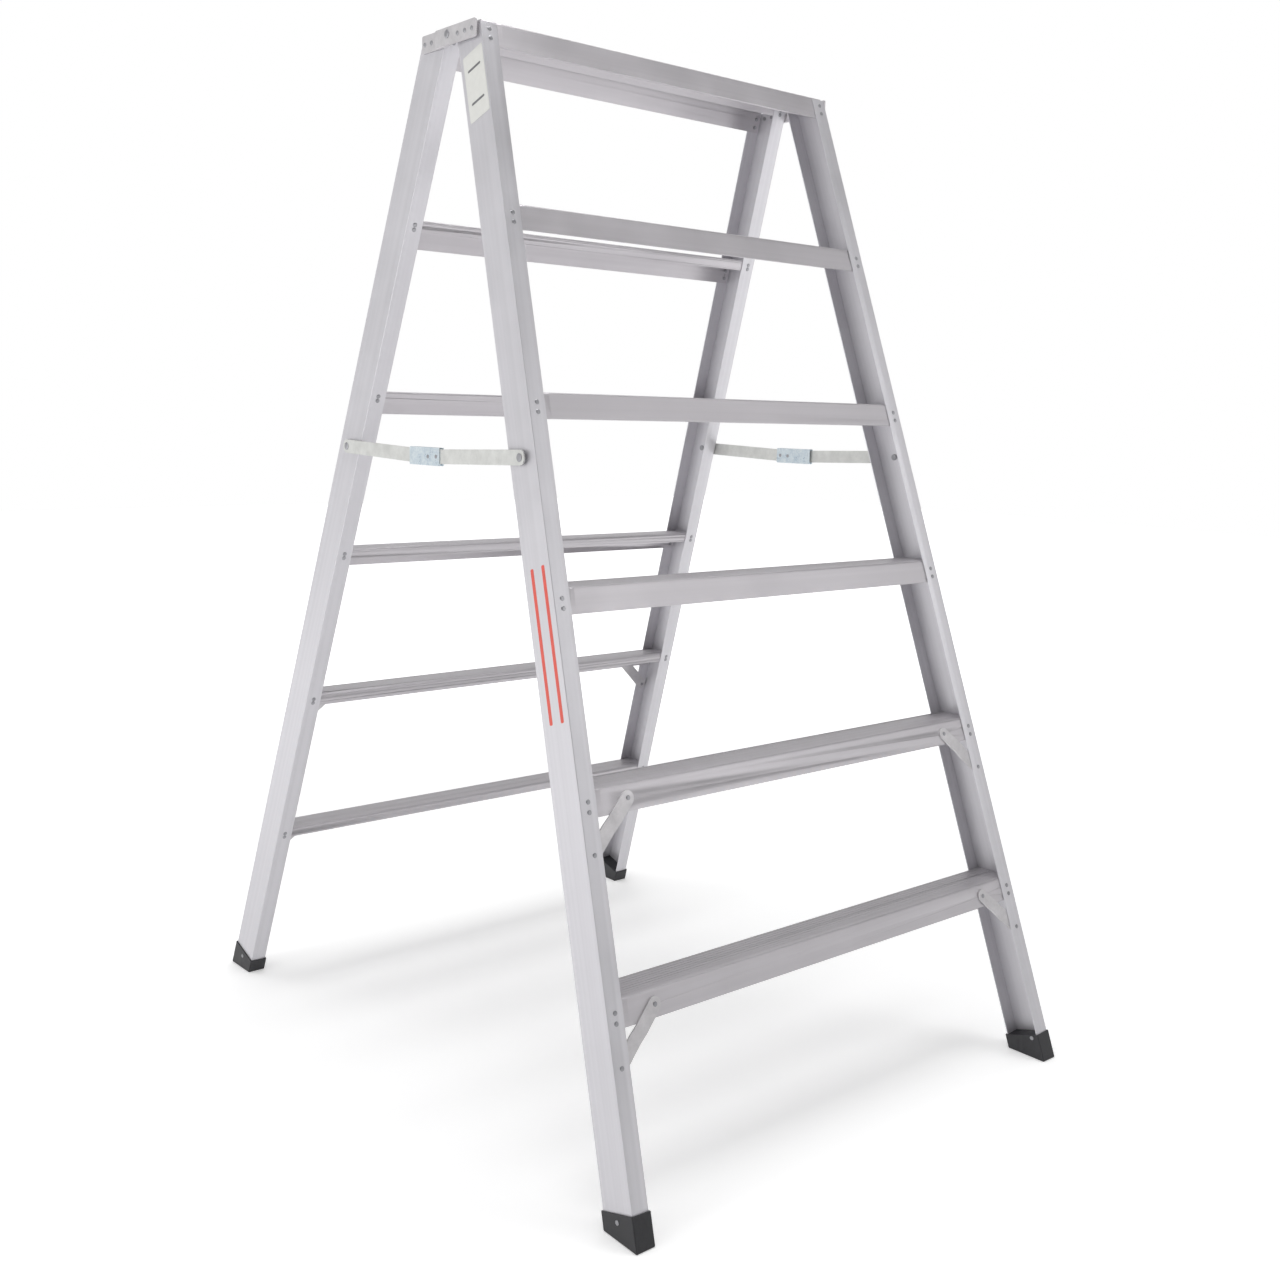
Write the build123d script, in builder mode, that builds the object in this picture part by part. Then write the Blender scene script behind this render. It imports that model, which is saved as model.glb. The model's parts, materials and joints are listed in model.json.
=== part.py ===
"""Folding double-sided aluminium trestle ladder, in millimetres.

X runs along the steps, Z is up and the origin is on the floor under the middle of the ladder.
Two identical frames lean together at the top: the front one stands on the -Y side. Each frame is
modelled on its own plane, the outer face of its channel stiles, with u across, v up the slope and
n outward. The back frame is the front frame turned half a turn about Z.
"""
import os
from math import cos, radians, sin, tan

from build123d import *

os.makedirs("parts", exist_ok=True)

# Frame geometry
TILT = radians(18.2)  # slope of each frame from the vertical
LEAN = radians(3.44)  # slope of each stile within its frame, wide at the foot
BASE_WIDTH = 1052.0  # over the outer webs, where the outer faces meet the floor
BASE_DEPTH = 1383.4  # over the outer faces of the two frames at the floor
STEP_PITCH = 300.0
FIRST_TREAD_Z = 340.0
STEP_COUNT = 5
TOP_LEVEL = STEP_COUNT + 1
STILE_TOP_Z = 1836.0

# Channel stiles
STILE_DEPTH = 72.0
STILE_WIDTH = 32.0
FLANGE = 3.0
WEB = 2.5
BEVEL_WIDTH = 9.0  # the free edge of each flange slopes inward
BEVEL_DROP = 1.2
STILE_RADIUS = 1.5
STILE_FOOT = 30.0  # square-cut lower end, along the stile from the floor corner

# Steps
STEP_WALL = 2.5
OUTER_APRON = 43.0
INNER_APRON = 22.0
NOSING_RADIUS = 4.5
END_GAP = 1.0
GROOVE_COUNT = 8
GROOVE_PITCH = 7.0
GROOVE_WIDTH = 1.4
GROOVE_DEPTH = 0.5

# Rivets that hold the steps
STEP_RIVET_IN = 16.0  # from the outer web face
OUTER_RIVET_DROPS = (17.0, 33.0)  # below the outer edge of the tread, along the slope
INNER_RIVET_DROPS = (9.2, 17.7)  # below the inner edge of the tread
SHANK_RADIUS = 2.4
HOLE_CLEARANCE = 0.05
HEAD_RADIUS = 4.0
HEAD_HEIGHT = 1.6
TAIL_RADIUS = 3.6
TAIL_HEIGHT = 1.8

# Corner braces under the two lowest steps
BRACED_LEVELS = (1, 2)
BRACE_WIDTH = 24.0
BRACE_THICK = 3.0
BRACE_HIGH_IN = 94.0
BRACE_HIGH_DROP = 22.5
BRACE_LOW_IN = 15.8
BRACE_LOW_DROP = 98.0
JOGGLE_START_DROP = 52.0
JOGGLE_END_DROP = 66.0

# Rubber feet
BOOT_WALL = 2.3
BOOT_TOP = 53.5
BOOT_RADIUS = 2.0
FOOT_RIVET_V = 41.0
FOOT_RIVET_N = -36.0
FOOT_INNER_RIVET_V = 48.0
FOOT_INNER_RIVET_N = -13.0
FOOT_RIVET_SHANK = 2.0
FOOT_RIVET_TIP = 1.2

# Spreader bars, outside the webs
SPREADER_Y = 283.0
SPREADER_Z = 1137.3
SPREADER_SAG = 9.0
BAR_HEIGHT = 25.0
BAR_THICK = 3.0
BACK_BAR_X = 455.4
FRONT_BAR_X = 458.5
BAR_TIP_GAP = 3.0
CLIP_THICK = 2.0
CLIP_HEIGHT = 31.0
CLIP_FRONT_Y = -50.0
CLIP_BACK_Y = 46.0
PIVOT_RADIUS = 3.0
PIVOT_HEAD_RADIUS = 7.0
PIVOT_CLEARANCE = 0.05
WASHER_RADIUS = 8.5
CLIP_RIVET_RADIUS = 1.6
CLIP_RIVET_TIP = 1.0
CLIP_RIVET_HEAD = 3.4
CLIP_RIVET_HEIGHT = 1.2
CLIP_RIVET_INSET = 0.8  # the rivets end just inside the bar, so that the bars pass each other
FRONT_CLIP_RIVET_YS = (-14.0, -40.0)
BACK_CLIP_RIVET_YS = (14.0, 36.0)

# Hinges at the top
HINGE_Z = 1829.0
HINGE_PLATE = 3.0
HINGE_LOW_Z = 1811.0
HINGE_HIGH_Z = 1840.0
BACK_PLATE_X = 411.5
FRONT_PLATE_X = 415.0
FRONT_PLATE_START = -86.0
FRONT_PLATE_END = 37.0
BACK_PLATE_END = 84.0
BACK_PLATE_NOSE = 14.0
PAD_START = 16.0
HINGE_PIN_RADIUS = 4.0
HINGE_HEAD_RADIUS = 7.0
HINGE_WASHER_RADIUS = 9.0
HINGE_WASHER_THICK = 1.5
HINGE_RIVET_YS = (32.0, 54.0, 75.0)
HINGE_RIVET_Z = 1825.0

# Blank label plate
LABEL_LOW_V = 1782.0
LABEL_HIGH_V = 1897.0
LABEL_WIDTH = 58.0
LABEL_N = -33.0
LABEL_THICK = 0.4

FRONT = Plane(origin=(0, -BASE_DEPTH / 2, 0), x_dir=(1, 0, 0), z_dir=(0, -cos(TILT), sin(TILT)))
BACK = Plane(origin=(0, BASE_DEPTH / 2, 0), x_dir=(-1, 0, 0), z_dir=(0, cos(TILT), sin(TILT)))
FRAMES = {"front": FRONT, "back": BACK}


# Rivet heads and tails
HEAD_CROWN_SHARE = 0.55
HEAD_RIM_SHARE = 0.3
RIVET_REACH = 0.3
PIVOT_REACH = 0.5
PIVOT_TAIL_RADIUS = PIVOT_HEAD_RADIUS - 1
PIVOT_HEAD_HEIGHT = 2.2
PIVOT_TAIL_HEIGHT = 2
HINGE_TAIL_RADIUS = HINGE_HEAD_RADIUS - 1
HINGE_HEAD_HEIGHT = 2.4
HINGE_TAIL_HEIGHT = 2

# Blanks before trimming, and depths of holes and cuts
STILE_BLANK_LENGTH = 2000
PIVOT_CUT_DEPTH = 12
HINGE_CUT_DEPTH = 14
BOOT_CUT_DEPTH = BOOT_WALL + WEB + 8
BOOT_INNER_CUT_DEPTH = BOOT_WALL + 10
BLOCK_DEPTH = 12
CLIP_CUT_SIZE = 60
CLIP_CUT_DEPTH = 14
WEB_CUT_SIZE = 400
WEB_CUT_DEPTH = 30
PLATE_CORNER_RADIUS = 3
PAD_MARGIN = 6
LABEL_CORNER_RADIUS = 3


def local_side(frame_name, side_name):
    """Sign of u for the world's left (-X) or right (+X) side of a frame."""
    left_sign = -1 if frame_name == "front" else 1
    return left_sign if side_name == "left" else -left_sign


def world_side(side_name):
    return -1 if side_name == "left" else 1


def tread_z(level):
    return FIRST_TREAD_Z + (level - 1) * STEP_PITCH


def slope_height(z, n):
    """The v of the point at height z and normal distance n."""
    return (z - n * sin(TILT)) / cos(TILT)


def web_u(v):
    """Distance of the outer web face from the middle of the frame."""
    return BASE_WIDTH / 2 - v * tan(LEAN)


def frame_plane(frame, u, v, n, outward=True):
    """A plane parallel to the frame, facing outward or inward, with its x up the slope."""
    sign = 1 if outward else -1
    return Plane(origin=frame.from_local_coords((u, v, n)), x_dir=frame.y_dir, z_dir=frame.z_dir * sign)


def web_plane(frame, sign, v, n, offset=0.0):
    """The outer web face, facing outward, with its x up the stile."""
    along = frame.x_dir * (-sign * sin(LEAN)) + frame.y_dir * cos(LEAN)
    outward = frame.x_dir * (sign * cos(LEAN)) + frame.y_dir * sin(LEAN)
    origin = frame.from_local_coords((sign * web_u(v), v, n))
    return Plane(origin=origin + outward * offset, x_dir=along, z_dir=outward)


def stile_plane(frame, sign, along=0.0):
    """Square across the stile at its mid depth: x outward from the web face, z up the stile."""
    web = web_plane(frame, sign, 0, -STILE_DEPTH / 2)
    return Plane(origin=web.origin + web.x_dir * along, x_dir=web.z_dir, z_dir=web.x_dir)


def step_plane(frame):
    """Side view of a frame: x horizontally inward from the foot, y up."""
    inward = Vector(0, -frame.z_dir.Y, 0).normalized()
    return Plane(origin=frame.origin, x_dir=inward, z_dir=inward.cross(Vector(0, 0, 1)))


def side_point(v, n):
    """A point of the frame's side view, as step_plane coordinates."""
    return (v * sin(TILT) - n * cos(TILT), v * cos(TILT) + n * sin(TILT))


def save(part, name):
    part.label = name
    export_step(part, f"parts/{name}.step")


def revolve_rivet(seat, grip, shank, head, tail, head_height=HEAD_HEIGHT, tail_height=TAIL_HEIGHT):
    """Adds one rivet to the open part: a raised head on the seat plane and a flat tail at the grip."""
    side_view = Plane(origin=seat.origin, x_dir=seat.x_dir, z_dir=seat.x_dir.cross(seat.z_dir))
    with BuildSketch(side_view) as profile:
        with BuildLine():
            Polyline((0, head_height), (head * HEAD_CROWN_SHARE, head_height),
                     (head, head_height * HEAD_RIM_SHARE), (head, 0),
                     (shank, 0), (shank, -grip), (tail, -grip), (tail, -grip - tail_height),
                     (0, -grip - tail_height), close=True)
        make_face()
    revolve(profile.sketch, axis=Axis(seat.origin, seat.z_dir))


def cut_holes(seats, radius, depth):
    """Bores the open part from each seat plane inward."""
    for seat in seats:
        with BuildSketch(seat) as hole:
            Circle(radius + HOLE_CLEARANCE)
        extrude(hole.sketch, amount=-depth, mode=Mode.SUBTRACT)


# Where the fasteners sit

def outer_step_seats(frame, sign, level):
    edge = slope_height(tread_z(level), -FLANGE)
    heights = [edge - drop for drop in OUTER_RIVET_DROPS]
    return [frame_plane(frame, sign * (web_u(v) - STEP_RIVET_IN), v, 0) for v in heights]


def inner_step_seats(frame, sign, level):
    edge = slope_height(tread_z(level), FLANGE - STILE_DEPTH)
    heights = [edge - drop for drop in INNER_RIVET_DROPS]
    return [frame_plane(frame, sign * (web_u(v) - STEP_RIVET_IN), v, -STILE_DEPTH, False) for v in heights]


def brace_ends(sign, level):
    """The (u, v) of the brace's upper and lower rivets."""
    edge = slope_height(tread_z(level), -FLANGE)
    high_v = edge - BRACE_HIGH_DROP
    low_v = edge - BRACE_LOW_DROP
    high = Vector(sign * (web_u(high_v) - BRACE_HIGH_IN), high_v)
    low = Vector(sign * (web_u(low_v) - BRACE_LOW_IN), low_v)
    return high, low


def brace_seats(frame, sign, level):
    return [frame_plane(frame, end.X, end.Y, 0) for end in brace_ends(sign, level)]


def foot_seat(frame, sign):
    return web_plane(frame, sign, FOOT_RIVET_V, FOOT_RIVET_N, BOOT_WALL)


def foot_inner_seat(frame, sign):
    web = web_plane(frame, sign, FOOT_INNER_RIVET_V, FOOT_INNER_RIVET_N)
    return Plane(origin=web.origin - web.z_dir * (STILE_WIDTH + BOOT_WALL), x_dir=web.x_dir, z_dir=-web.z_dir)


def side_plane(side, x):
    """A plane across X that faces away from the ladder: its own x runs along -Y or +Y."""
    return Plane(origin=(side * x, 0, 0), x_dir=(0, side, 0), z_dir=(side, 0, 0))


def pivot_seat(frame_name, side, x):
    y = -SPREADER_Y if frame_name == "front" else SPREADER_Y
    plane = side_plane(side, x)
    return Plane(origin=(side * x, y, SPREADER_Z), x_dir=plane.x_dir, z_dir=plane.z_dir)


def hinge_rivet_seats(frame_name, side):
    direction = -1 if frame_name == "front" else 1
    face_x = (FRONT_PLATE_X if frame_name == "front" else BACK_PLATE_X) + HINGE_PLATE
    ys = HINGE_RIVET_YS if frame_name == "front" else HINGE_RIVET_YS[1:]
    plane = side_plane(side, face_x)
    return [
        Plane(origin=(side * face_x, direction * y, HINGE_RIVET_Z), x_dir=plane.x_dir, z_dir=plane.z_dir)
        for y in ys
    ]


def web_grip(frame, sign, seat):
    """Distance from a seat plane to the inner web face, straight along the seat's normal."""
    web = web_plane(frame, sign, 0, 0, -WEB)
    return (seat.origin - web.origin).dot(web.z_dir) / seat.z_dir.dot(web.z_dir)


# Stiles

def stile_profile(frame, sign):
    """The channel's section at its square-cut foot: web at x = 0, flanges reaching inward."""
    half = STILE_DEPTH / 2
    with BuildSketch(stile_plane(frame, sign, STILE_FOOT)) as profile:
        with BuildLine():
            Polyline((0, 0), (0, half), (BEVEL_WIDTH - STILE_WIDTH, half), (-STILE_WIDTH, half - BEVEL_DROP),
                     (-STILE_WIDTH, half - FLANGE), (-WEB, half - FLANGE), (-WEB, 0))
            mirror(about=Plane.XZ)
        make_face()
        fillet(profile.vertices().group_by(Axis.X)[-1], STILE_RADIUS)
    return profile.sketch


def make_stile(frame_name, side_name):
    frame = FRAMES[frame_name]
    sign = local_side(frame_name, side_name)
    side = world_side(side_name)
    with BuildPart() as stile:
        extrude(stile_profile(frame, sign), amount=STILE_BLANK_LENGTH)
        split(bisect_by=Plane.XY.offset(STILE_TOP_Z), keep=Keep.BOTTOM)
        for level in range(1, TOP_LEVEL + 1):
            cut_holes(outer_step_seats(frame, sign, level), SHANK_RADIUS, FLANGE)
            cut_holes(inner_step_seats(frame, sign, level), SHANK_RADIUS, FLANGE)
        for level in BRACED_LEVELS:
            cut_holes(brace_seats(frame, sign, level)[1:], SHANK_RADIUS, FLANGE)
        cut_holes([foot_seat(frame, sign)], FOOT_RIVET_SHANK, BOOT_WALL + WEB)
        cut_holes([pivot_seat(frame_name, side, FRONT_BAR_X)], PIVOT_RADIUS, PIVOT_CUT_DEPTH)
        cut_holes(hinge_rivet_seats(frame_name, side), SHANK_RADIUS, HINGE_CUT_DEPTH)
    save(stile.part, f"{frame_name}_{side_name}_stile")


# Steps and top rails

def make_step(frame_name, level):
    frame = FRAMES[frame_name]
    z = tread_z(level)
    inner_n = FLANGE - STILE_DEPTH
    inner_edge_v = slope_height(z, inner_n)
    half_length = web_u(inner_edge_v) - WEB / cos(LEAN) - END_GAP
    outer_edge = Vector(*side_point(slope_height(z, -FLANGE), -FLANGE))
    inner_edge = Vector(*side_point(inner_edge_v, inner_n))
    slope = Vector(sin(TILT), cos(TILT))
    tread_middle = (outer_edge + inner_edge) * 0.5
    with BuildPart() as step:
        with BuildSketch(step_plane(frame)):
            with BuildLine():
                FilletPolyline(outer_edge - slope * OUTER_APRON, outer_edge, inner_edge,
                               inner_edge - slope * INNER_APRON, radius=NOSING_RADIUS)
                offset(amount=STEP_WALL, side=Side.RIGHT)
            make_face()
            with Locations((tread_middle.X, z)):
                with GridLocations(GROOVE_PITCH, 1, GROOVE_COUNT, 1):
                    Rectangle(GROOVE_WIDTH, 2 * GROOVE_DEPTH, mode=Mode.SUBTRACT)
        extrude(amount=half_length, both=True)
        for sign in (-1, 1):
            cut_holes(outer_step_seats(frame, sign, level), SHANK_RADIUS, FLANGE + STEP_WALL)
            cut_holes(inner_step_seats(frame, sign, level), SHANK_RADIUS, FLANGE + STEP_WALL)
            if level in BRACED_LEVELS:
                cut_holes(brace_seats(frame, sign, level)[:1], SHANK_RADIUS, FLANGE + STEP_WALL)
    name = "top_rail" if level == TOP_LEVEL else f"step_{level}"
    save(step.part, f"{frame_name}_{name}")


# Corner braces

def make_brace(frame_name, side_name, level):
    """A strip with rounded ends: its upper end lies on the step, its lower end behind the flange."""
    frame = FRAMES[frame_name]
    sign = local_side(frame_name, side_name)
    high, low = brace_ends(sign, level)
    run = low - high
    per_drop = run.length / (BRACE_LOW_DROP - BRACE_HIGH_DROP)
    joggle_start = (JOGGLE_START_DROP - BRACE_HIGH_DROP) * per_drop
    joggle_end = (JOGGLE_END_DROP - BRACE_HIGH_DROP) * per_drop
    start = -BRACE_WIDTH
    end = run.length + BRACE_WIDTH
    along = frame.x_dir * (run.X / run.length) + frame.y_dir * (run.Y / run.length)
    high_point = frame.from_local_coords((high.X, high.Y, 0))
    middle_point = high_point + along * (run.length / 2)
    with BuildPart() as brace:
        with BuildSketch(Plane(origin=high_point, x_dir=along, z_dir=along.cross(frame.z_dir))):
            with BuildLine():
                Polyline((start, 0), (joggle_start, 0), (joggle_end, -BRACE_THICK), (end, -BRACE_THICK),
                         (end, -2 * BRACE_THICK), (joggle_end, -2 * BRACE_THICK),
                         (joggle_start, -BRACE_THICK), (start, -BRACE_THICK), close=True)
            make_face()
        extrude(amount=BRACE_WIDTH, both=True)
        with BuildSketch(Plane(origin=middle_point, x_dir=along, z_dir=frame.z_dir)):
            SlotCenterToCenter(run.length, BRACE_WIDTH)
        extrude(amount=3 * BRACE_THICK, both=True, mode=Mode.INTERSECT)
        cut_holes(brace_seats(frame, sign, level), SHANK_RADIUS, 3 * BRACE_THICK)
    save(brace.part, f"{frame_name}_{side_name}_brace_{level}")


# Feet

def make_foot(frame_name, side_name):
    """A boot that wraps the stile's end and plugs its channel, cut level with the floor."""
    frame = FRAMES[frame_name]
    sign = local_side(frame_name, side_name)
    with BuildPart() as foot:
        with BuildSketch(stile_plane(frame, sign, BOOT_TOP)):
            with Locations((-STILE_WIDTH / 2, 0)):
                RectangleRounded(STILE_WIDTH + 2 * BOOT_WALL, STILE_DEPTH + 2 * BOOT_WALL, BOOT_RADIUS)
        extrude(amount=-2 * BOOT_TOP)
        split(bisect_by=Plane.XY, keep=Keep.TOP)
        sole = foot.faces().sort_by(Axis.Z)[0]
        fillet(sole.edges(), BOOT_RADIUS)
        extrude(stile_profile(frame, sign), amount=BOOT_TOP, mode=Mode.SUBTRACT)
        cut_holes([foot_seat(frame, sign)], FOOT_RIVET_SHANK, BOOT_CUT_DEPTH)
        cut_holes([foot_inner_seat(frame, sign)], FOOT_RIVET_SHANK, BOOT_INNER_CUT_DEPTH)
    save(foot.part, f"{frame_name}_{side_name}_foot")


# Rivet groups

def make_rivets(frame_name):
    frame = FRAMES[frame_name]
    signs = (-1, 1)
    with BuildPart() as step_rivets:
        for level in range(1, TOP_LEVEL + 1):
            for sign in signs:
                for seat in outer_step_seats(frame, sign, level) + inner_step_seats(frame, sign, level):
                    revolve_rivet(seat, FLANGE + STEP_WALL, SHANK_RADIUS, HEAD_RADIUS, TAIL_RADIUS)
    save(step_rivets.part, f"{frame_name}_step_rivets")

    with BuildPart() as brace_rivets:
        for level in BRACED_LEVELS:
            for sign in signs:
                high, low = brace_seats(frame, sign, level)
                revolve_rivet(high, BRACE_THICK + STEP_WALL, SHANK_RADIUS, HEAD_RADIUS, TAIL_RADIUS)
                revolve_rivet(low, FLANGE + BRACE_THICK, SHANK_RADIUS, HEAD_RADIUS, TAIL_RADIUS)
    save(brace_rivets.part, f"{frame_name}_brace_rivets")

    with BuildPart() as foot_rivets:
        for sign in signs:
            for seat, depth in ((foot_seat(frame, sign), BOOT_CUT_DEPTH),
                                (foot_inner_seat(frame, sign), BOOT_INNER_CUT_DEPTH)):
                revolve_rivet(seat, depth - 1, FOOT_RIVET_SHANK, HEAD_RADIUS, FOOT_RIVET_TIP, HEAD_HEIGHT, 1)
    save(foot_rivets.part, f"{frame_name}_foot_rivets")

    with BuildPart() as hinge_rivets:
        for side_name in ("left", "right"):
            sign = local_side(frame_name, side_name)
            for seat in hinge_rivet_seats(frame_name, world_side(side_name)):
                grip = web_grip(frame, sign, seat) + RIVET_REACH
                revolve_rivet(seat, grip, SHANK_RADIUS, HEAD_RADIUS, TAIL_RADIUS)
    save(hinge_rivets.part, f"{frame_name}_hinge_rivets")


# Spreaders

def bar_height(y):
    """The middle of a spreader bar at y: level at the pivots, sagging to the middle clip."""
    return SPREADER_Z - SPREADER_SAG * (1 - abs(y) / SPREADER_Y)


def bar_plane(side, x, direction):
    """Flat on a bar's inner face, with its origin at the pivot and x along the bar to the middle."""
    run = Vector(0, -direction * SPREADER_Y, -SPREADER_SAG)
    origin = Vector(side * x, direction * SPREADER_Y, SPREADER_Z)
    plane = Plane(origin=origin, x_dir=run.normalized(), z_dir=(side, 0, 0))
    return plane, run.length


def make_bar(frame_name, side_name):
    side = world_side(side_name)
    direction = -1 if frame_name == "front" else 1
    x = FRONT_BAR_X if frame_name == "front" else BACK_BAR_X
    plane, length = bar_plane(side, x, direction)
    reach = length - BAR_TIP_GAP / 2
    with BuildPart() as bar:
        with BuildSketch(plane):
            with Locations((reach / 2, 0)):
                Rectangle(reach, BAR_HEIGHT)
            Circle(BAR_HEIGHT / 2)
            Circle(PIVOT_RADIUS + PIVOT_CLEARANCE, mode=Mode.SUBTRACT)
        extrude(amount=BAR_THICK)
        cut_holes(clip_seats(frame_name, side), CLIP_RIVET_RADIUS, CLIP_THICK + BAR_THICK)
    save(bar.part, f"{side_name}_{frame_name}_spreader_bar")


def clip_seats(frame_name, side):
    """Seats of the two small rivets that hold each clip plate to its own bar, on the clip's free face."""
    if frame_name == "front":
        face_x = FRONT_BAR_X + BAR_THICK + CLIP_THICK
        facing = side
    else:
        face_x = BACK_BAR_X - CLIP_THICK
        facing = -side
    ys = FRONT_CLIP_RIVET_YS if frame_name == "front" else BACK_CLIP_RIVET_YS
    return [
        Plane(origin=(side * face_x, y, bar_height(y)), x_dir=(0, 1, 0), z_dir=(facing, 0, 0))
        for y in ys
    ]


def make_clip(frame_name, side_name):
    """The outer clip is carried by the front bar, the inner one by the back bar."""
    side = world_side(side_name)
    x = FRONT_BAR_X + BAR_THICK if frame_name == "front" else BACK_BAR_X - CLIP_THICK
    middle_y = (CLIP_FRONT_Y + CLIP_BACK_Y) / 2
    length = CLIP_BACK_Y - CLIP_FRONT_Y
    plane = side_plane(side, x)
    middle = Plane(origin=(side * x, middle_y, bar_height(0) + 1), x_dir=plane.x_dir, z_dir=plane.z_dir)
    with BuildPart() as clip:
        with BuildSketch(middle):
            RectangleRounded(length, CLIP_HEIGHT, 2)
        extrude(amount=CLIP_THICK)
        cut_holes(clip_seats(frame_name, side), CLIP_RIVET_RADIUS, CLIP_THICK + BAR_THICK)
    name = "outer" if frame_name == "front" else "inner"
    save(clip.part, f"{side_name}_{name}_spreader_clip")


def make_spreader_fasteners():
    for frame_name in ("front", "back"):
        frame = FRAMES[frame_name]
        bar_x = FRONT_BAR_X if frame_name == "front" else BACK_BAR_X
        with BuildPart() as rivets:
            for side_name in ("left", "right"):
                sign = local_side(frame_name, side_name)
                seat = pivot_seat(frame_name, world_side(side_name), bar_x + BAR_THICK + PIVOT_CLEARANCE)
                grip = web_grip(frame, sign, seat) + PIVOT_REACH
                revolve_rivet(seat, grip, PIVOT_RADIUS, PIVOT_HEAD_RADIUS, PIVOT_TAIL_RADIUS,
                              PIVOT_HEAD_HEIGHT, PIVOT_TAIL_HEIGHT)
        save(rivets.part, f"{frame_name}_spreader_rivets")

        with BuildPart() as washers:
            for side_name in ("left", "right"):
                sign = local_side(frame_name, side_name)
                with BuildSketch(pivot_seat(frame_name, world_side(side_name), bar_x - PIVOT_CLEARANCE)):
                    Circle(WASHER_RADIUS)
                    Circle(PIVOT_RADIUS, mode=Mode.SUBTRACT)
                extrude(amount=-BLOCK_DEPTH)
            for side_name in ("left", "right"):
                sign = local_side(frame_name, side_name)
                with BuildSketch(web_plane(frame, sign, slope_height(SPREADER_Z, LABEL_N), LABEL_N)):
                    Rectangle(CLIP_CUT_SIZE, CLIP_CUT_SIZE)
                extrude(amount=-CLIP_CUT_DEPTH, mode=Mode.SUBTRACT)
        save(washers.part, f"{frame_name}_spreader_washers")

        for side_name in ("left", "right"):
            with BuildPart() as clip_rivets:
                for seat in clip_seats(frame_name, world_side(side_name)):
                    revolve_rivet(seat, BAR_THICK + CLIP_THICK - CLIP_RIVET_INSET, CLIP_RIVET_RADIUS,
                                  CLIP_RIVET_HEAD, CLIP_RIVET_TIP, CLIP_RIVET_HEIGHT, CLIP_RIVET_INSET - 0.1)
            save(clip_rivets.part, f"{side_name}_{frame_name}_clip_rivets")


# Hinges

def make_hinge_plate(frame_name, side_name):
    """A flat strap with a pad on its inner face that is trimmed to the leaning web."""
    frame = FRAMES[frame_name]
    side = world_side(side_name)
    sign = local_side(frame_name, side_name)
    direction = -1 if frame_name == "front" else 1
    x = FRONT_PLATE_X if frame_name == "front" else BACK_PLATE_X
    middle_z = (HINGE_LOW_Z + HINGE_HIGH_Z) / 2
    height = HINGE_HIGH_Z - HINGE_LOW_Z
    outer_end = -FRONT_PLATE_START if frame_name == "front" else BACK_PLATE_END
    plane = Plane(origin=(side * x, 0, middle_z), x_dir=(0, direction, 0), z_dir=(side, 0, 0))
    along = plane.x_dir.Y * direction
    with BuildPart() as plate:
        with BuildSketch(plane):
            if frame_name == "front":
                with Locations(((outer_end - FRONT_PLATE_END) / 2 * along, 0)):
                    RectangleRounded(outer_end + FRONT_PLATE_END, height, PLATE_CORNER_RADIUS)
            else:
                with Locations(((outer_end + HINGE_PIN_RADIUS) / 2 * along, 0)):
                    RectangleRounded(outer_end - HINGE_PIN_RADIUS, height, PLATE_CORNER_RADIUS)
                with Locations((0, 0)):
                    Circle(BACK_PLATE_NOSE)
        extrude(amount=HINGE_PLATE)
        with BuildSketch(plane):
            with Locations(((outer_end + PAD_START) / 2 * along, 0)):
                Rectangle(outer_end - PAD_START - PAD_MARGIN, height - PAD_MARGIN)
        extrude(amount=-BLOCK_DEPTH)
        with BuildSketch(web_plane(frame, sign, slope_height(middle_z, LABEL_N), LABEL_N)):
            Rectangle(WEB_CUT_SIZE, WEB_CUT_SIZE)
        extrude(amount=-WEB_CUT_DEPTH, mode=Mode.SUBTRACT)
        bore = HINGE_PIN_RADIUS if frame_name == "front" else HINGE_PIN_RADIUS + PIVOT_CLEARANCE
        with BuildSketch(Plane(origin=(side * x, 0, HINGE_Z), x_dir=(0, 1, 0), z_dir=(side, 0, 0))):
            Circle(bore)
        extrude(amount=HINGE_PLATE, mode=Mode.SUBTRACT)
        cut_holes(hinge_rivet_seats(frame_name, side), SHANK_RADIUS, HINGE_CUT_DEPTH)
    save(plate.part, f"{side_name}_{frame_name}_hinge_plate")


def hinge_seat(side, x):
    return Plane(origin=(side * x, 0, HINGE_Z), x_dir=(0, 1, 0), z_dir=(side, 0, 0))


def make_hinge_pin(side_name):
    """A headed pin, fixed in the front plate, that the back plate turns on."""
    side = world_side(side_name)
    grip = FRONT_PLATE_X + HINGE_PLATE - BACK_PLATE_X + PIVOT_CLEARANCE + HINGE_WASHER_THICK
    with BuildPart() as pin:
        revolve_rivet(hinge_seat(side, FRONT_PLATE_X + HINGE_PLATE), grip, HINGE_PIN_RADIUS,
                      HINGE_HEAD_RADIUS, HINGE_TAIL_RADIUS, HINGE_HEAD_HEIGHT,
                      HINGE_TAIL_HEIGHT)
    save(pin.part, f"{side_name}_hinge_pin")


def make_hinge_washers():
    with BuildPart() as washers:
        for side in (-1, 1):
            with BuildSketch(hinge_seat(side, BACK_PLATE_X - PIVOT_CLEARANCE)):
                Circle(HINGE_WASHER_RADIUS)
                Circle(HINGE_PIN_RADIUS, mode=Mode.SUBTRACT)
            extrude(amount=-HINGE_WASHER_THICK)
    save(washers.part, "hinge_washers")


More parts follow.
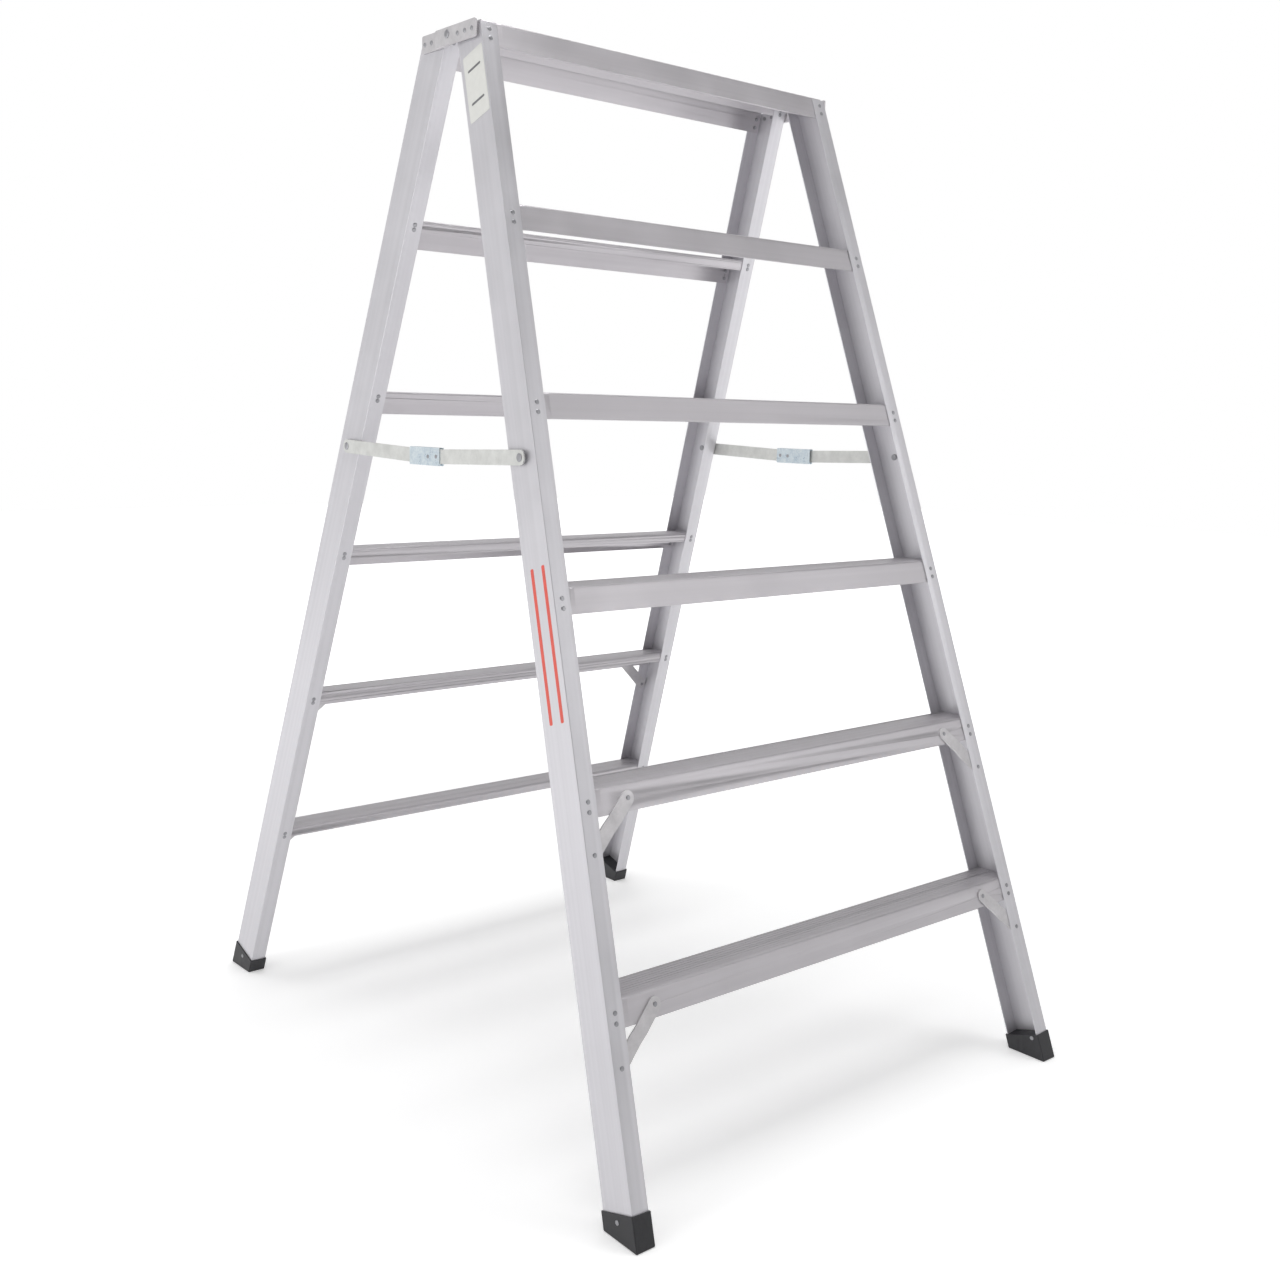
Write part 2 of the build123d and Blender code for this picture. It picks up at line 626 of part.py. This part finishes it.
def make_label():
    """A blank plate near the top of the front left web."""
    middle_v = (LABEL_LOW_V + LABEL_HIGH_V) / 2
    with BuildPart() as label:
        with BuildSketch(web_plane(FRONT, local_side("front", "left"), middle_v, LABEL_N)):
            RectangleRounded(LABEL_HIGH_V - LABEL_LOW_V, LABEL_WIDTH, LABEL_CORNER_RADIUS)
        extrude(amount=LABEL_THICK)
    save(label.part, "label_plate")


for frame_name in ("front", "back"):
    for side_name in ("left", "right"):
        make_stile(frame_name, side_name)
        make_foot(frame_name, side_name)
        make_bar(frame_name, side_name)
        make_clip(frame_name, side_name)
        make_hinge_plate(frame_name, side_name)
        for level in BRACED_LEVELS:
            make_brace(frame_name, side_name, level)
    for level in range(1, TOP_LEVEL + 1):
        make_step(frame_name, level)
    make_rivets(frame_name)
make_spreader_fasteners()
for side_name in ("left", "right"):
    make_hinge_pin(side_name)
make_hinge_washers()
make_label()
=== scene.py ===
"""Looks of the folding double-sided aluminium trestle ladder, in metres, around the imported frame."""
import json
from math import cos, radians, sin, tan

import bmesh
import bpy
from mathutils import Matrix, Vector


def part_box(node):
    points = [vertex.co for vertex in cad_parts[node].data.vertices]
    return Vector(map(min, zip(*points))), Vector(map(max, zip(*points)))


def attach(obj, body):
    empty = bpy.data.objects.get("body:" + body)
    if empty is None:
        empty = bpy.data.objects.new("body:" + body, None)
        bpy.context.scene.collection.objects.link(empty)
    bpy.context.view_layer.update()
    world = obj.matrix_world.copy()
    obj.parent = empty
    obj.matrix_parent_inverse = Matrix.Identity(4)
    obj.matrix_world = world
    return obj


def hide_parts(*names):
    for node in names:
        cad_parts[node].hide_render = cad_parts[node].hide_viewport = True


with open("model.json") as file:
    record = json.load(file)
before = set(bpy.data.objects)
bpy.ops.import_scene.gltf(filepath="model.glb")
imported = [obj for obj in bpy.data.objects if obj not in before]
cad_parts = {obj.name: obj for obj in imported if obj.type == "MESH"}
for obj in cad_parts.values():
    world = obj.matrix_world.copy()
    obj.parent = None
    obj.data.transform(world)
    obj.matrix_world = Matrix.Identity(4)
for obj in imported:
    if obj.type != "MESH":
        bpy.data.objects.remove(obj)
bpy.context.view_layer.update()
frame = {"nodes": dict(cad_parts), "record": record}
nodes = frame["nodes"]
bodies = frame["record"]["behaviour"]["bodies"]
body_of = {node: body for body, members in bodies.items() for node in members}
slot_of = {entry["node"]: entry["material_slot"] for entry in frame["record"]["subparts"]}
scene = bpy.context.scene

# The slopes of the frames and of the stiles in them
TILT = radians(18.2)
LEAN = radians(3.44)
HALF_DEPTH = 0.6917  # from the middle to a frame's outer face, at the floor
HALF_WIDTH = 0.526  # from the middle to a web's outer face, at the floor
UP_FRONT = Vector((0, sin(TILT), cos(TILT)))
OUT_FRONT = Vector((0, -cos(TILT), sin(TILT)))
ACROSS = Vector((1, 0, 0))


# Camera

SENSOR = 36.0
IMAGE = 1280
FOCAL_PIXELS = 1400.16
CAMERA_AT = Vector((-1.7501, -2.1083, 1.2080))
YAW = radians(40.295)
PITCH = radians(9.121)
ROLL = radians(1.396)


def add_camera():
    forward = Vector((sin(YAW) * cos(PITCH), cos(YAW) * cos(PITCH), -sin(PITCH)))
    level_right = Vector((cos(YAW), -sin(YAW), 0))
    level_up = level_right.cross(forward)
    right = level_right * cos(ROLL) + level_up * sin(ROLL)
    up = level_up * cos(ROLL) - level_right * sin(ROLL)
    data = bpy.data.cameras.new("camera")
    data.sensor_width = SENSOR
    data.lens = SENSOR * FOCAL_PIXELS / IMAGE
    camera = bpy.data.objects.new("camera", data)
    camera.matrix_world = Matrix.Translation(CAMERA_AT) @ Matrix((right, up, -forward)).transposed().to_4x4()
    scene.collection.objects.link(camera)
    scene.camera = camera


# Materials

NOISE_LOW = 0.3  # where a noise texture's useful range starts and ends
NOISE_HIGH = 0.7


class Shader:
    """A small helper for building one node material around a Principled shader."""

    def __init__(self, name, color, metallic, roughness):
        self.material = bpy.data.materials.new(name)
        self.material.use_nodes = True
        self.nodes = self.material.node_tree.nodes
        self.links = self.material.node_tree.links
        self.shader = self.nodes["Principled BSDF"]
        self.shader.inputs["Base Color"].default_value = (*color, 1)
        self.shader.inputs["Metallic"].default_value = metallic
        self.shader.inputs["Roughness"].default_value = roughness

    def add(self, kind, **values):
        node = self.nodes.new(kind)
        for key, value in values.items():
            if hasattr(node, key):
                setattr(node, key, value)
            else:
                node.inputs[key.replace("_", " ")].default_value = value
        return node

    def link(self, source, output, target, socket):
        self.links.new(source.outputs[output], target.inputs[socket])

    def coordinates(self, direction, across_scale, along_scale):
        """Object coordinates turned so that local X lies along a direction, then stretched along it."""
        turned = Vector((1, 0, 0)).rotation_difference(Vector(direction)).inverted().to_euler()
        texture = self.add("ShaderNodeTexCoord")
        turn = self.add("ShaderNodeVectorRotate", rotation_type="EULER_XYZ")
        turn.inputs["Rotation"].default_value = turned
        stretch = self.add("ShaderNodeVectorMath", operation="MULTIPLY")
        stretch.inputs[1].default_value = (along_scale, across_scale, across_scale)
        self.link(texture, "Object", turn, "Vector")
        self.link(turn, "Vector", stretch, 0)
        return stretch

    def noise(self, coordinates, scale, detail=3.0, roughness=0.5):
        noise = self.add("ShaderNodeTexNoise", Scale=scale, Detail=detail, Roughness=roughness)
        if coordinates is None:
            texture = self.add("ShaderNodeTexCoord")
            self.link(texture, "Object", noise, "Vector")
        else:
            self.link(coordinates, "Vector", noise, "Vector")
        return noise

    def spread(self, source, low, high):
        remap = self.add("ShaderNodeMapRange")
        remap.inputs["From Min"].default_value = NOISE_LOW
        remap.inputs["From Max"].default_value = NOISE_HIGH
        remap.inputs["To Min"].default_value = low
        remap.inputs["To Max"].default_value = high
        self.link(source, 0, remap, "Value")
        return remap

    def tint(self, factor, dark, light):
        mix = self.add("ShaderNodeMix", data_type="RGBA")
        mix.inputs[6].default_value = (*dark, 1)
        mix.inputs[7].default_value = (*light, 1)
        self.link(factor, 0, mix, 0)
        self.links.new(mix.outputs[2], self.shader.inputs["Base Color"])

    def bump(self, source, strength, distance):
        bump = self.add("ShaderNodeBump", Strength=strength, Distance=distance)
        self.link(source, 0, bump, "Height")
        previous = self.shader.inputs["Normal"].links
        if previous:
            self.links.new(previous[0].from_socket, bump.inputs["Normal"])
        self.links.new(bump.outputs["Normal"], self.shader.inputs["Normal"])


ALLOY_METALLIC = 0.62
ALLOY_ROUGHNESS = 0.42


def extruded_aluminium(name, direction, color):
    """Satin extruded alloy: fine die lines along the section, faint handling marks over them."""
    made = Shader(name, color, ALLOY_METALLIC, ALLOY_ROUGHNESS)
    fine = made.coordinates(direction, across_scale=1500.0, along_scale=3.0)
    wide = made.coordinates(direction, across_scale=120.0, along_scale=0.6)
    lines = made.noise(fine, scale=1.0, detail=2.0)
    bands = made.noise(wide, scale=1.0, detail=3.0)
    blotches = made.noise(None, scale=9.0, detail=4.0, roughness=0.6)
    shade = made.add("ShaderNodeMath", operation="ADD")
    made.link(made.spread(bands, 0.0, 0.55), 0, shade, 0)
    made.link(made.spread(blotches, 0.0, 0.45), 0, shade, 1)
    dark = [channel * 0.93 for channel in color]
    light = [min(1.0, channel * 1.05) for channel in color]
    made.tint(shade, dark, light)
    rough = made.spread(blotches, ALLOY_ROUGHNESS - 0.05, ALLOY_ROUGHNESS + 0.07)
    made.link(rough, 0, made.shader, "Roughness")
    made.bump(lines, strength=0.16, distance=0.0001)
    made.bump(bands, strength=0.10, distance=0.0002)
    return made.material


ROLLING_DIRECTION = (0.3, 0.7, 0.6)


def rolled_plate(name, color, metallic, roughness, grain=700.0):
    """Rolled sheet: faint directional grain under cloudy handling marks."""
    made = Shader(name, color, metallic, roughness)
    rolled = made.coordinates(ROLLING_DIRECTION, across_scale=grain, along_scale=25.0)
    grain_noise = made.noise(rolled, scale=1.0, detail=3.0)
    cloud = made.noise(None, scale=45.0, detail=5.0, roughness=0.65)
    dark = [channel * 0.86 for channel in color]
    light = [min(1.0, channel * 1.06) for channel in color]
    made.tint(made.spread(cloud, 0.0, 1.0), dark, light)
    made.link(made.spread(cloud, roughness + 0.08, roughness - 0.05), 0, made.shader, "Roughness")
    made.bump(grain_noise, strength=0.14, distance=0.0001)
    return made.material


def zinc_plate():
    """Bright zinc: bluish, with spangled cells under a thin passivation tint."""
    made = Shader("zinc", (0.60, 0.68, 0.73), 0.75, 0.30)
    texture = made.add("ShaderNodeTexCoord")
    cells = made.add("ShaderNodeTexVoronoi", Scale=260.0)
    made.link(texture, "Object", cells, "Vector")
    cloud = made.noise(None, scale=60.0, detail=4.0, roughness=0.6)
    shade = made.add("ShaderNodeMath", operation="ADD")
    made.link(made.spread(cells, 0.0, 0.35), 0, shade, 0)
    made.link(made.spread(cloud, 0.0, 0.65), 0, shade, 1)
    made.tint(shade, (0.48, 0.57, 0.65), (0.72, 0.78, 0.80))
    made.link(made.spread(cloud, 0.24, 0.40), 0, made.shader, "Roughness")
    made.bump(cells, strength=0.05, distance=0.0001)
    return made.material


def moulded_rubber():
    """Black rubber: fine moulding grain with slightly greyer upright scuffs."""
    made = Shader("black_rubber", (0.014, 0.014, 0.018), 0.0, 0.46)
    grain = made.noise(None, scale=1800.0, detail=2.0)
    upright = made.coordinates((0, 0, 1), across_scale=90.0, along_scale=30.0)
    scuffs = made.noise(upright, scale=1.0, detail=5.0, roughness=0.7)
    made.tint(made.spread(scuffs, 0.0, 1.0), (0.010, 0.010, 0.013), (0.030, 0.030, 0.034))
    made.link(made.spread(scuffs, 0.38, 0.60), 0, made.shader, "Roughness")
    made.bump(grain, strength=0.22, distance=0.0002)
    return made.material


def film(name, color, wear):
    """A thin printed film: almost flat, with faint rubbed patches."""
    made = Shader(name, color, 0.0, 0.38)
    rubbed = made.noise(None, scale=70.0, detail=5.0, roughness=0.7)
    fibre = made.noise(None, scale=1400.0, detail=2.0)
    made.tint(made.spread(rubbed, 0.0, 1.0), [channel * wear for channel in color], color)
    made.link(made.spread(rubbed, 0.34, 0.50), 0, made.shader, "Roughness")
    made.bump(fibre, strength=0.06, distance=0.0001)
    return made.material


STILE_COLOR = (0.635, 0.625, 0.655)
STEP_COLOR = (0.56, 0.54, 0.565)


def stile_direction(node):
    """Up the stile, from its frame's tilt and its own lean."""
    low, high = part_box(node)
    side = 1 if low[0] + high[0] > 0 else -1
    facing = 1 if low[1] + high[1] < 0 else -1
    up = Vector((0, facing * sin(TILT), cos(TILT)))
    return (up * cos(LEAN) - ACROSS * side * sin(LEAN)).normalized()


materials = {
    "step_aluminium": extruded_aluminium("step_aluminium", ACROSS, STEP_COLOR),
    "plate_aluminium": rolled_plate("plate_aluminium", (0.62, 0.605, 0.62), metallic=0.55, roughness=0.40),
    "bar_aluminium": rolled_plate("bar_aluminium", (0.66, 0.665, 0.645), metallic=0.45, roughness=0.42),
    "zinc": zinc_plate(),
    "rivet_steel": rolled_plate("rivet_steel", (0.36, 0.36, 0.38), metallic=0.75, roughness=0.38,
                                grain=1800.0),
    "black_rubber": moulded_rubber(),
    "label_white": film("label_white", (0.70, 0.70, 0.67), wear=0.93),
    "print_dark": film("print_dark", (0.17, 0.17, 0.18), wear=0.8),
    "print_red": film("print_red", (0.80, 0.10, 0.07), wear=0.85),
}


def material_for(node):
    slot = slot_of[node]
    if node.endswith("_bar"):
        return materials["bar_aluminium"]
    if slot != "stile_aluminium":
        return materials[slot]
    return extruded_aluminium(f"{node}_aluminium", stile_direction(node), STILE_COLOR)


# Pieces

def add_piece(name, mesh, body, material):
    piece = bpy.data.objects.new(name, mesh)
    scene.collection.objects.link(piece)
    mesh.materials.clear()
    mesh.materials.append(material)
    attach(piece, body)
    return piece


FLANGE_WIDTH = 0.032
PRESS_START = 0.0115  # inward of the flange's free edge
PRESS_BOTTOM = 0.003
PRESS_END = 0.0006
PRESS_DEPTH = 0.0010
APRON_SHEET = 0.0026
APRON_REACH = 0.02  # how far behind the outer face the top edge is looked for
NOSING_DROP = 0.004
CUT_TOLERANCE = 1e-7
FOLD_TOLERANCE = 1e-5


def press_ends(work, node):
    """Presses a shallow slanted facet across the outer apron, just before each stile's flange."""
    facing = 1 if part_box(node)[0][1] < 0 else -1
    up = Vector((0, facing * UP_FRONT.y, UP_FRONT.z))
    out = Vector((0, facing * OUT_FRONT.y, OUT_FRONT.z))
    foot = Vector((0, -facing * HALF_DEPTH, 0))
    outer = max((vert.co - foot).dot(out) for vert in work.verts)
    front = [vert.co - foot for vert in work.verts if (vert.co - foot).dot(out) > outer - APRON_REACH]
    top = max(offset.dot(up) for offset in front)
    free_edge = HALF_WIDTH * cos(LEAN) - FLANGE_WIDTH
    for side in (-1, 1):
        across = ACROSS * side * cos(LEAN) + up * sin(LEAN)
        for inward in (PRESS_START, PRESS_BOTTOM, PRESS_END):
            geometry = work.verts[:] + work.edges[:] + work.faces[:]
            place = foot + across * (free_edge - inward)
            bmesh.ops.bisect_plane(work, geom=geometry, dist=CUT_TOLERANCE, plane_co=place, plane_no=across)
        bottom = free_edge - PRESS_BOTTOM
        for vert in work.verts:
            offset = vert.co - foot
            on_apron = offset.dot(out) > outer - APRON_SHEET and offset.dot(up) < top - NOSING_DROP
            if on_apron and abs(offset.dot(across) - bottom) < FOLD_TOLERANCE:
                vert.co -= out * PRESS_DEPTH
        for edge in work.edges:
            reaches = [(vert.co - foot).dot(across) for vert in edge.verts]
            for fold in (free_edge - PRESS_START, bottom):
                if max(abs(reach - fold) for reach in reaches) < FOLD_TOLERANCE:
                    edge.smooth = False


MERGE_DISTANCE = 1e-6
FLAT_ANGLE = radians(0.6)
SHARP_ANGLE = radians(32)
BEVEL_SEGMENTS = 2
FULL_WEIGHT = 100


def soften(node, width):
    """The CAD node's own shape, with its sharp edges broken and smooth shading between them."""
    work = bmesh.new()
    work.from_mesh(nodes[node].data)
    bmesh.ops.remove_doubles(work, verts=work.verts, dist=MERGE_DISTANCE)
    if slot_of[node] == "step_aluminium":
        press_ends(work, node)
    bmesh.ops.dissolve_limit(work, angle_limit=FLAT_ANGLE, verts=work.verts, edges=work.edges)
    mesh = bpy.data.meshes.new(f"{node}_finish")
    work.to_mesh(mesh)
    work.free()
    piece = add_piece(f"{node}_finish", mesh, body_of[node], material_for(node))
    bevel = piece.modifiers.new("broken_edges", "BEVEL")
    bevel.width = width
    bevel.segments = BEVEL_SEGMENTS
    bevel.limit_method = "ANGLE"
    bevel.angle_limit = SHARP_ANGLE
    bevel.use_clamp_overlap = True
    mesh.shade_smooth()
    flatten = piece.modifiers.new("flat_faces", "WEIGHTED_NORMAL")
    flatten.mode = "FACE_AREA_WITH_ANGLE"
    flatten.weight = FULL_WEIGHT
    flatten.keep_sharp = True
    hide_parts(node)


EDGE_BREAK = {
    "stile_aluminium": 0.00035,
    "step_aluminium": 0.00035,
    "plate_aluminium": 0.0005,
    "zinc": 0.0004,
    "rivet_steel": 0.0005,
    "black_rubber": 0.0008,
    "label_white": 0.0001,
}
for node in sorted(nodes):
    soften(node, EDGE_BREAK[slot_of[node]])


def web_point(v, n, lift):
    """A point over the front left web's outer face: v up the slope, n outward from the frame."""
    outward = -ACROSS * cos(LEAN) + UP_FRONT * sin(LEAN)
    foot = Vector((-(HALF_WIDTH - v * tan(LEAN)), -HALF_DEPTH, 0))
    return foot + UP_FRONT * v + OUT_FRONT * n + outward * lift


PRINT_THICK = 0.00015
CORNER_ROUND = 0.0012
CORNER_SEGMENTS = 4


def add_bar(name, v_range, n_range, lift, material):
    """A thin printed bar on the front left web, with softened corners."""
    v0, v1 = v_range
    n0, n1 = n_range
    work = bmesh.new()
    corners = [(v0, n0), (v1, n0), (v1, n1), (v0, n1)]
    low = [work.verts.new(web_point(v, n, lift)) for v, n in corners]
    high = [work.verts.new(web_point(v, n, lift + PRINT_THICK)) for v, n in corners]
    work.faces.new(low[::-1])
    work.faces.new(high)
    for i in range(4):
        j = (i + 1) % 4
        work.faces.new((low[i], low[j], high[j], high[i]))
    sides = [edge for edge in work.edges if {v in low for v in edge.verts} == {True, False}]
    bmesh.ops.bevel(work, geom=sides, offset=CORNER_ROUND, segments=CORNER_SEGMENTS, affect="EDGES")
    bmesh.ops.recalc_face_normals(work, faces=work.faces)
    mesh = bpy.data.meshes.new(name)
    work.to_mesh(mesh)
    work.free()
    add_piece(name, mesh, "front_frame", material)


# Up the slope and across the web, from the frame's outer face inward
STRIPE_V = (0.783, 1.031)
STRIPE_NS = (-0.018, -0.048)
STRIPE_HALF = 0.004
for index, n in enumerate(STRIPE_NS):
    stripe_n = (n - STRIPE_HALF, n + STRIPE_HALF)
    add_bar(f"red_stripe_{index + 1}", STRIPE_V, stripe_n, 0.0, materials["print_red"])

LABEL_FACE = 0.0004
RULE_VS = (1.809, 1.866)
RULE_WIDTH = 0.004
RULE_N = (-0.052, -0.014)
for index, v in enumerate(RULE_VS):
    add_bar(f"label_rule_{index + 1}", (v, v + RULE_WIDTH), RULE_N, LABEL_FACE, materials["print_dark"])


# Stage and light

FLOOR_HALF = 14.0
FLOOR_COLOR = (0.93, 0.93, 0.93)
FLOOR_ROUGHNESS = 0.8
FLOOR_GLOW = 0.30  # under the ladder, rising with distance
FLOOR_NEAR = 1.2
FLOOR_FAR = 4.5
FLOOR_FAR_GLOW = 1.0


def add_floor():
    """A plain white floor that glows a little more away from the ladder, so that no horizon shows."""
    mesh = bpy.data.meshes.new("floor")
    corners = [(x * FLOOR_HALF, y * FLOOR_HALF, 0) for x, y in ((-1, -1), (1, -1), (1, 1), (-1, 1))]
    mesh.from_pydata(corners, [], [(0, 1, 2, 3)])
    floor = bpy.data.objects.new("floor", mesh)
    scene.collection.objects.link(floor)
    made = Shader("floor", FLOOR_COLOR, 0.0, FLOOR_ROUGHNESS)
    made.shader.inputs["Emission Color"].default_value = (1, 1, 1, 1)
    texture = made.add("ShaderNodeTexCoord")
    reach = made.add("ShaderNodeVectorMath", operation="LENGTH")
    made.link(texture, "Object", reach, 0)
    glow = made.add("ShaderNodeMapRange", interpolation_type="SMOOTHSTEP")
    glow.inputs["From Min"].default_value = FLOOR_NEAR
    glow.inputs["From Max"].default_value = FLOOR_FAR
    glow.inputs["To Min"].default_value = FLOOR_GLOW
    glow.inputs["To Max"].default_value = FLOOR_FAR_GLOW
    made.links.new(reach.outputs["Value"], glow.inputs["Value"])
    made.link(glow, 0, made.shader, "Emission Strength")
    mesh.materials.append(made.material)


# Name, place, target, size and power of each
SOFTBOXES = (
    ("left_softbox", (-3.8, 0.3, 1.8), (0, 0, 0.9), (2.6, 2.6), 27),
    ("front_right_softbox", (2.6, -3.4, 2.4), (0, 0, 1.2), (2.4, 2.4), 29),
    ("top_softbox", (0.0, 0.0, 4.2), (0, 0, 1.0), (2.6, 2.6), 96),
)


def add_area(name, place, target, size, power):
    data = bpy.data.lights.new(name, "AREA")
    data.shape = "RECTANGLE"
    data.size = size[0]
    data.size_y = size[1]
    data.energy = power
    light = bpy.data.objects.new(name, data)
    light.location = place
    light.rotation_euler = (Vector(target) - Vector(place)).to_track_quat("-Z", "Y").to_euler()
    scene.collection.objects.link(light)


# The room's even level, and what each direction adds to it
WORLD_BASE = 0.20
WORLD_LOBES = (
    ((-1, 0, 0), 0.08),
    ((0, 1, 0), 0.58),
)


def add_world():
    """White to the camera; for everything else a grey room, brighter at the back and the left."""
    world = bpy.data.worlds.new("studio")
    world.use_nodes = True
    tree = world.node_tree
    background = tree.nodes["Background"]
    background.inputs["Color"].default_value = (1, 1, 1, 1)
    direction = tree.nodes.new("ShaderNodeTexCoord")
    level = None
    for axis, amount in WORLD_LOBES:
        lobe = tree.nodes.new("ShaderNodeVectorMath")
        lobe.operation = "DOT_PRODUCT"
        lobe.inputs[1].default_value = axis
        tree.links.new(direction.outputs["Generated"], lobe.inputs[0])
        remap = tree.nodes.new("ShaderNodeMapRange")
        remap.inputs["To Max"].default_value = amount
        tree.links.new(lobe.outputs["Value"], remap.inputs["Value"])
        total = tree.nodes.new("ShaderNodeMath")
        total.operation = "ADD"
        total.inputs[1].default_value = WORLD_BASE
        if level:
            tree.links.new(level.outputs[0], total.inputs[1])
        tree.links.new(remap.outputs[0], total.inputs[0])
        level = total
    path = tree.nodes.new("ShaderNodeLightPath")
    choice = tree.nodes.new("ShaderNodeMix")
    choice.inputs["B"].default_value = 1.0
    tree.links.new(path.outputs["Is Camera Ray"], choice.inputs["Factor"])
    tree.links.new(level.outputs[0], choice.inputs["A"])
    tree.links.new(choice.outputs[0], background.inputs["Strength"])
    scene.world = world


add_camera()
add_floor()
for name, place, target, size, power in SOFTBOXES:
    add_area(name, place, target, size, power)
add_world()
scene.view_settings.view_transform = "Standard"
